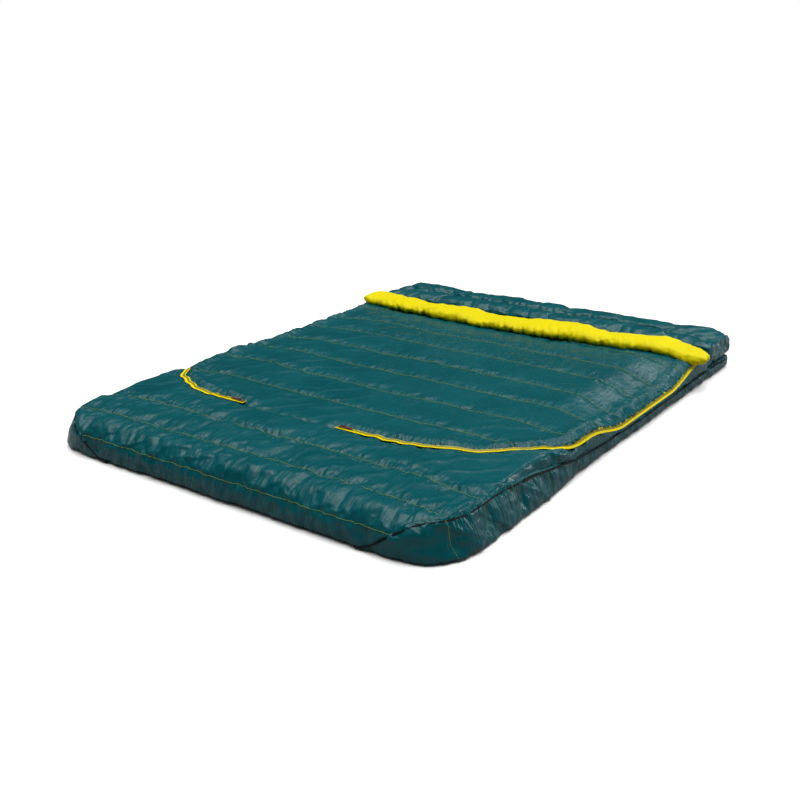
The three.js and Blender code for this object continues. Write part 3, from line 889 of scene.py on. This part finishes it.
def draw_up_to_zip(piece):
    """Remeshing eats the strips' thin upper edges, so they are drawn up to the zips again."""
    points = places(piece)
    on_strip = (depth_in(points) < 0.028) & (np.abs(way_out(points)[:, 0]) > 0.9)
    for side in (-1, 1):
        middle = zip_line(side, fine_steps)[0]
        beside = middle[:, 1] > -0.30
        on_side = (points[:, 0] * side > 0) & (np.abs(points[:, 1]) < 0.76)
        chosen = np.flatnonzero(on_strip & on_side)
        y, z = points[chosen, 1], points[chosen, 2]
        top = upper_edge(y, z)
        wanted = np.interp(y, middle[beside, 1], middle[beside, 2]) - zip_below
        lift = np.maximum(wanted - top, 0) * eased((y + 0.34) / 0.06)
        points[chosen, 2] += lift * eased((z - top + drawn_up) / drawn_up)
        print("strip drawn up by", round(float(lift.max()) * 1000), "mm")
    put(piece, points)


draw_up_to_zip(footbox)


def footbox_apart(points):
    rows = to_rows(points, foot_rows)
    end_row = np.hypot(points[:, 2] - foot_end_row, np.maximum(depth_in(points) - 0.03, 0))
    return np.where(points[:, 1] < foot_y + 0.06, end_row, rows)


apart = footbox_apart(places(footbox))
press_rows(footbox, apart, row_depth)
points = places(footbox)
edge = (near_zip(points)[0] < held_at_zip) | (points[:, 2] < 0.012)
puff(footbox, (apart < held_width) | edge, pressure=3.5, spare=0.05, cap=0.009)
finer(footbox)
wrinkle(footbox, footbox_apart(places(footbox)), sewn=0.0032, crease=0.0026, crumple=0.0016)
gather_at_zip(footbox, lean=0.001, rise=0.001, ridge=0.0020)
points = places(footbox)
distance, step = near_zip(points)
pucker_map(footbox, "zip_pucker", along_zip(step), distance + 0.010)
pucker_map(footbox, "row_pucker", points[:, 0], footbox_apart(points) + 0.010)
finish_pad(footbox, "bag", "shell", [shell_paint, lining_paint], 0.6,
           "footbox_shell", "footbox_fill", "footbox_lining", "foot_end_panel",
           "side_panel_left", "side_panel_right")
second_paint(footbox, lambda at, out: at.z < quilt_low + 0.012 and out.z < -0.5
             and abs(at.x) < 0.70 and at.y > foot_y + 0.05)

# %% [markdown]
# The gussets are the tall side walls. Their cloth is pulled smooth, so it shows the gloss best.
# Each is a thin wall made thicker inwards, held at the ground, at the seam and at short upright
# rows, and puffed between them.

# %% Side gussets
side_rows = foot_rows + [-0.615] + quilt_rows + [0.80]


def gusset_apart(points):
    on_side = eased((np.abs(way_out(points)[:, 0]) - 0.25) / 0.1) > 0.5
    return np.where(on_side, to_rows(points, side_rows), 9)


for name, side in sides:
    gusset = thick_wall(f"side_gusset_{name}", f"gusset_{name}_pad", 0.020, more_up=seam_overlap)
    even_net(gusset, 0.008, 5)
    put(gusset, roll_edge(places(gusset)))
    points = places(gusset)
    apart = gusset_apart(points)
    press_rows(gusset, apart, 0.002)
    edge = (points[:, 2] < 0.010) | (depth_in(points) > 0.012)
    puff(gusset, (apart < 0.004) | edge, pressure=4.0, spare=0.04, cap=0.010)
    finer(gusset)
    wrinkle(gusset, gusset_apart(places(gusset)), sewn=0.0016, crease=0.0030, crumple=0.0022)
    points = places(gusset)
    _, y, z = points.T
    pucker_map(gusset, "row_pucker", y, upper_edge(y, z) - z + 0.005)
    finish_pad(gusset, "bag", "shell", [shell_paint], 0.6, f"side_gusset_{name}")

# %% [markdown]
# The underside pad lies on the ground. Its upper face is the lining that the sleepers lie on.

# %% Underside
under = copy_of("bottom_fill", "underside_pad")
stretch_z(under, 0.001, 0.040)
points = places(under)
points[:, 0] *= (wall_x - 0.014) / wall_x
points[:, 1] = np.where(points[:, 1] < 0, points[:, 1] + 0.014, points[:, 1])
put(under, points)
even_net(under, 0.014, 6)
apart = to_rows(places(under), side_rows)
press_rows(under, np.where(normals(under)[:, 2] > -0.5, apart, 9), 0.006, 0.014)
on_ground = places(under)[:, 2] < 0.004
puff(under, (apart < 0.007) | on_ground, pressure=4.0, spare=0.04, cap=0.012, frames=14)
finer(under)
wrinkle(under, to_rows(places(under), side_rows), sewn=0.0015, crease=0.0010, crumple=0.0008)
finish_pad(under, "bag", "shell", [shell_paint, lining_paint], 0.6,
           "bottom_shell", "bottom_fill", "bottom_lining")
second_paint(under, lambda at, out: out.z > 0.5 and at.y < head_y - 0.26)

# %% [markdown]
# The pillow sleeve is a puffed pad over a slack pocket, joined to the bag by low side walls. At
# the bag's corners its edge shows as three soft rolls, one on the other, with creases between.

# %% Pillow sleeve
sleeve_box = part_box("sleeve_fill")
sleeve_front = sleeve_box[0][1]
sleeve = copy_of("sleeve_fill", "sleeve_top")
stretch_z(sleeve, sleeve_box[0][2] - 0.006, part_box("sleeve_shell")[1][2] - 0.002)
wall_depth = 0.034
wall_front = sleeve_front - 0.055
walls = [
    block("sleeve_side", (min(side * wall_x, side * (wall_x - wall_depth)), wall_front, 0.046),
          (max(side * wall_x, side * (wall_x - wall_depth)), head_y - 0.030, 0.092))
    for side in (-1, 1)
]
front = block("sleeve_front", (-0.755, sleeve_front, 0.040), (0.755, sleeve_front + 0.014, 0.112))
sleeve = join([sleeve, front, *walls], "sleeve_pad")
even_net(sleeve, 0.009, 6)
sleeve_rows = [0.915]
roll_creases = (0.048, 0.093)


def sleeve_apart(points):
    rows = to_rows(points, sleeve_rows)
    creases = np.min([np.abs(points[:, 2] - z) for z in roll_creases], 0)
    return np.where(depth_in(points) < 0.014, creases, np.where(points[:, 2] > 0.1, rows, 9))


apart = sleeve_apart(places(sleeve))
press_rows(sleeve, apart, 0.004)
points = places(sleeve)
puff(sleeve, (apart < 0.004) | (points[:, 2] < 0.05), pressure=5.0, spare=0.06, cap=0.014)
finer(sleeve)
wrinkle(sleeve, sleeve_apart(places(sleeve)), sewn=0.0022, crease=0.0022, crumple=0.0016)
finish_pad(sleeve, "bag", "shell", [shell_paint, lining_paint], 0.6,
           "sleeve_shell", "sleeve_fill", "sleeve_lining")

# %% [markdown]
# The collar is the quilt's head edge folded over, lime side up. It is stuffed and rolls over at
# its front, with many small wrinkles because the lining is cut longer than the padding. It was
# folded by hand, so neither edge is straight: the edges follow a few chosen places.

# %% Collar
collar_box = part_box("collar_face")
collar_front_edge = [(-0.77, 0.616), (-0.55, 0.585), (-0.10, 0.560), (0.25, 0.578), (0.55, 0.612),
                     (0.70, 0.620), (0.77, 0.632)]
collar_back_edge = [(-0.77, 0.768), (-0.66, 0.778), (-0.42, 0.722), (-0.20, 0.738), (0.00, 0.718),
                    (0.20, 0.775), (0.34, 0.748), (0.50, 0.755), (0.60, 0.790), (0.70, 0.750),
                    (0.77, 0.690)]
collar_tip = 0.045
collar = copy_of("collar_fill", "collar_pad")
stretch_z(collar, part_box("collar_back")[0][2] + 0.003, collar_box[1][2] - 0.0045)
even_net(collar, 0.008, 8)
points = places(collar)
puff(collar, points[:, 2] < collar_box[0][2] + 0.001, pressure=4.0, spare=0.07, cap=0.007)
finer(collar)
points = places(collar)
front_y, back_y = collar_box[0][1], collar_box[1][1]
share = (points[:, 1] - front_y) / (back_y - front_y)
edges = [
    np.interp(points[:, 0], *np.array(edge).T) for edge in (collar_front_edge, collar_back_edge)
]
softened = 0.006 * noise(points[:, 0] / 0.06, 0.5, 41)
softened += 0.004 * noise(points[:, 0] / 0.025, 0.5, 42)
points[:, 1] = edges[0] + share * (edges[1] - edges[0]) + softened
rise = 0.006 * noise(points[:, 0] / 0.11, 0.5, 43)
points[:, 2] += rise * eased((points[:, 2] - collar_box[0][2]) / 0.03)
to_back = eased((share - 0.72) / 0.28)
points[:, 2] -= 0.35 * to_back * np.maximum(points[:, 2] - collar_box[0][2], 0)
tip = eased((points[:, 0] - 0.55) / 0.22)
points[:, 0] += collar_tip * tip
points[:, 2] -= 0.006 * tip
put(collar, points)
wrinkle(collar, np.maximum(share - 0.1, 0) * 0.15, sewn=0.0032, crease=0.0026, crumple=0.0020)
finish_pad(collar, "collar", "lining", [lining_paint, shell_paint], 0.6,
           "collar_face", "collar_fill", "collar_back")
second_paint(collar, lambda at, out: out.z < -0.8)

# %% [markdown]
# Behind each zip lies a draft tube: a thin roll of lining that keeps cold air out.

# %% Draft tubes
for name in ("left", "right"):
    tube = copy_of(f"draft_tube_{name}", f"draft_tube_{name}_pad")
    even_net(tube, 0.006, 3)
    wrinkle(tube, np.full(len(places(tube)), 9.0), crease=0.0010, crumple=0.0012)
    finish_pad(tube, "bag", "lining", [lining_paint], 0.5, f"draft_tube_{name}")

# %% [markdown]
# A zip is two woven tapes that carry a nylon coil each. A tape is a strip of cloth laid along the
# zip's line: a flat grid is added, its columns are moved onto the line, and it gets a thickness.

# %% Zips
def laid_strip(name, line, sections):
    """A grid laid along a line. sections are (inward, out) distances from one edge to the other."""
    middle, inward, out = line
    steps, width = len(middle), len(sections)
    deselect()
    bpy.ops.mesh.primitive_grid_add(x_subdivisions=steps - 1, y_subdivisions=width - 1, size=1)
    piece = bpy.context.object
    piece.name = name
    points = places(piece)
    column = np.rint((points[:, 0] + 0.5) * (steps - 1)).astype(int)
    row = np.rint((points[:, 1] + 0.5) * (width - 1)).astype(int)
    across = np.array(sections)[row]
    laid = middle[column] + inward[column] * across[:, :1] + out[column] * across[:, 1:]
    put(piece, laid)
    return piece


def finish_trim(piece, body, slot, paint, *nodes):
    in_edit(piece, bpy.ops.mesh.normals_make_consistent, inside=False)
    bpy.ops.object.shade_smooth_by_angle(angle=math.radians(40))
    cloth_map(piece)
    piece.data.materials.clear()
    piece.data.materials.append(paint)
    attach(piece, body)
    if nodes:
        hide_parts(*nodes)


coil_paint = cloth_paint(
    "olive_coil", (0.30, 0.25, 0.0), (0.42, 0.36, 0.0), 0.35, 0.1,
    (0.010, 0.0001), (0.0025, 0.0004), specular=0.5,
)
tape_wide = {"outer": 0.0130, "inner": 0.0075}
for name, side in sides:
    middle, inward, out = zip_line(side, fine_steps)
    for half, body, way in (("outer", "bag", -1), ("inner", "quilt", 1)):
        near, far = 0.0003 * way, tape_wide[half] * way
        flat = [(near, 0.0012), ((near + far) / 2, 0.0022), (far, 0.0024)]
        bulged = [(near, 0.0024), (way * 0.0018, 0.0042), (way * 0.0036, 0.0024)]
        for kind, sections, thick, paint in (("tape", flat, 0.0011, tape_paint),
                                             ("coil", bulged, 0.0012, coil_paint)):
            strip = laid_strip(f"{kind}_{half}_{name}", (middle, inward, out), sections)
            use(strip, "SOLIDIFY", thickness=thick, offset=0)
            put(strip, as_laid(places(strip)))
            finish_trim(strip, body, f"zip_{kind}", paint, f"zip_{kind}_{half}_{name}")
    print("the", name, "zip has two tapes and two coils")

# %% [markdown]
# A cord runs inside the seam between the gusset and the top. It starts as the engineer's thin
# piping. After the pads are puffed, each stretch of it is moved out until it lies on them.

# %% Corded seams
cord_paint = cloth_paint(
    "black_cord", (0.004, 0.008, 0.009), (0.008, 0.014, 0.016), 0.5, 0.1,
    (0.010, 0.0002), (0.002, 0.0001), specular=0.1,
)
cord_swell, cord_proud = 0.0012, 0.0010


def rest_on(piece, pads):
    """Moves a seam cord out, or in, until it lies on the pads at either side of it."""
    graph = bpy.context.evaluated_depsgraph_get()
    cloths = [BVHTree.FromObject(pad, graph) for pad in pads]
    points = places(piece)
    out = np.concatenate([way_out(points), np.zeros((len(points), 1))], 1)
    near = KDTree(len(points))
    far = 0.06
    shift = np.zeros(len(points))
    for number, (point, way) in enumerate(zip(points, out)):
        start = Vector(point + way * far)
        hits = [cloth.ray_cast(start, -Vector(way), 2 * far)[3] for cloth in cloths]
        shift[number] = far - min([hit for hit in hits if hit is not None], default=far)
        near.insert(point, number)
    near.balance()
    for number, point in enumerate(points.copy()):
        beside = [found[1] for found in near.find_range(point, 0.020)]
        points[number] += out[number] * (np.mean(shift[beside]) + cord_proud)
    put(piece, points)


for name in ("left", "right"):
    cord = copy_of(f"seam_piping_{name}", f"seam_cord_{name}")
    finer(cord, 2)
    put(cord, places(cord) + normals(cord) * cord_swell)
    put(cord, as_laid(roll_edge(places(cord))))
    rest_on(cord, [footbox, sleeve, bpy.data.objects[f"gusset_{name}_pad"]])
    finish_trim(cord, "bag", "piping", cord_paint, f"seam_piping_{name}")
    print(cord.name, "lies on its pads")

# %% [markdown]
# Sliders, stops and pulls stay as the engineer drew them. They get worn nickel and a moulded pull.

# %% Metal
pit_depth = 0.0002


def metal_paint(name, dark, light, rough, metallic):
    paint = bpy.data.materials.new(name)
    paint.use_nodes = True
    tree = paint.node_tree
    shader = tree.nodes["Principled BSDF"]
    place = tree.nodes.new("ShaderNodeTexCoord").outputs["Object"]
    spot = noise_node(tree, place, Scale=260.0, Detail=4.0, Roughness=0.6).outputs["Fac"]
    worn_surface(shader, tree, spot, dark, light, rough, 0.25, spot, distance=pit_depth)
    shader.inputs["Metallic"].default_value = metallic
    return paint


nickel = metal_paint("worn_nickel", (0.16, 0.13, 0.11), (0.42, 0.38, 0.34), 0.25, 1.0)
pull_paint = metal_paint("moulded_pull", (0.10, 0.02, 0.02), (0.20, 0.05, 0.04), 0.45, 0.0)
for name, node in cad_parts.items():
    if name.startswith(("slider_", "zip_stop_", "pull_")):
        finish = pull_paint if name.startswith("pull_") else nickel
        for hold in node.material_slots:
            hold.link = "OBJECT"
            hold.material = finish
        if not node.material_slots:
            node.data.materials.append(finish)
print("metal and pulls finished")

# %% [markdown]
# The rows are sewn with a thick olive-lime thread. One stitch is modelled, and a copy is laid
# wherever the needle would come up: a ray dropped on the puffed cloth finds the place.

# %% Stitching
thread_paint = cloth_paint(
    "olive_thread", (0.17, 0.23, 0.02), (0.30, 0.36, 0.03), 0.6, 0.1,
    (0.010, 0.0001), (0.001, 0.0001), specular=0.2,
)
stitch_long, stitch_wide, stitch_step = 0.0052, 0.0014, 0.0068


def one_stitch():
    deselect()
    bpy.ops.mesh.primitive_cylinder_add(vertices=6, radius=0.5, depth=1, end_fill_type="TRIFAN",
                                        rotation=(0, math.pi / 2, 0))
    stitch = bpy.context.object
    bpy.ops.object.transform_apply(location=False, rotation=True, scale=False)
    stitch.scale = (stitch_long, stitch_wide, stitch_wide)
    bpy.ops.object.transform_apply(location=False, rotation=False, scale=True)
    points = places(stitch)
    faces = [list(face.vertices) for face in stitch.data.polygons]
    bpy.data.objects.remove(stitch)
    return points, faces


stitch_points, stitch_faces = one_stitch()


def sew(name, body, pad, routes):
    """Lays stitches on a pad. A route is a list of (start point, ray direction)."""
    cloth = BVHTree.FromObject(pad, bpy.context.evaluated_depsgraph_get())
    points, faces = [], []
    for route in routes:
        hits = [cloth.ray_cast(Vector(start), Vector(ray)) for start, ray in route]
        for number in range(0, len(hits) - 1, 2):
            (first, out, _, _), (second, _, _, _) = hits[number], hits[number + 1]
            if first is None or second is None or (second - first).length > stitch_long * 2:
                continue
            along = (second - first).normalized()
            side = out.cross(along).normalized()
            turn = np.array([along, side, along.cross(side)])
            centre = np.array((first + second) / 2 + out * stitch_wide * 0.25)
            faces += [[corner + len(points) * len(stitch_points) for corner in face]
                      for face in stitch_faces]
            points.append(stitch_points @ turn + centre)
    mesh = bpy.data.meshes.new(name)
    mesh.from_pydata(np.concatenate(points).tolist(), [], faces)
    piece = bpy.data.objects.new(name, mesh)
    scene.collection.objects.link(piece)
    finish_trim(piece, body, "zip_tape", thread_paint)
    print(name, "has", len(points), "stitches")


def both_ends(starts):
    """Where the needle goes down and comes up for each stitch."""
    return np.stack([starts, starts + stitch_long * 0.9], 1).ravel()


def top_route(row_y, from_x, to_x, from_z=0.3, way=-1):
    count = int((to_x - from_x) / stitch_step)
    x = both_ends(from_x + np.arange(count) * stitch_step)
    y = row_line(x, row_y, row_y * 10)
    return [((a, b, from_z), (0, 0, way)) for a, b in zip(x, y)]


sew("quilt_stitching", "quilt", quilt, [top_route(row, -0.76, 0.76) for row in quilt_rows])
inside_z = 0.065
sew("quilt_lining_stitching", "quilt", quilt,
    [top_route(row, -0.70, 0.70, inside_z, 1) for row in quilt_rows])
sew("underside_lining_stitching", "bag", under,
    [top_route(row, -0.72, 0.72, inside_z, -1) for row in quilt_rows])
end_x = both_ends(np.arange(-0.70, 0.70, stitch_step))
end_route = [((x, foot_y - 0.2, foot_end_row), (0, 1, 0)) for x in end_x]
sew("footbox_stitching", "bag", footbox,
    [top_route(row, -0.745, 0.745) for row in foot_rows] + [end_route])
sew("sleeve_stitching", "bag", sleeve, [top_route(row, -0.75, 0.75) for row in sleeve_rows])
for name, side in sides:
    z = both_ends(np.arange(0.012, 0.12, stitch_step))
    sewn_y = [float(row_line(side * wall_x, row, row * 10)) for row in side_rows]
    rows = [[((side * 1.0, y, height), (-side, 0, 0)) for height in z] for y in sewn_y]
    gusset = bpy.data.objects[f"gusset_{name}_pad"]
    sew(f"gusset_{name}_stitching", "bag", gusset, rows)
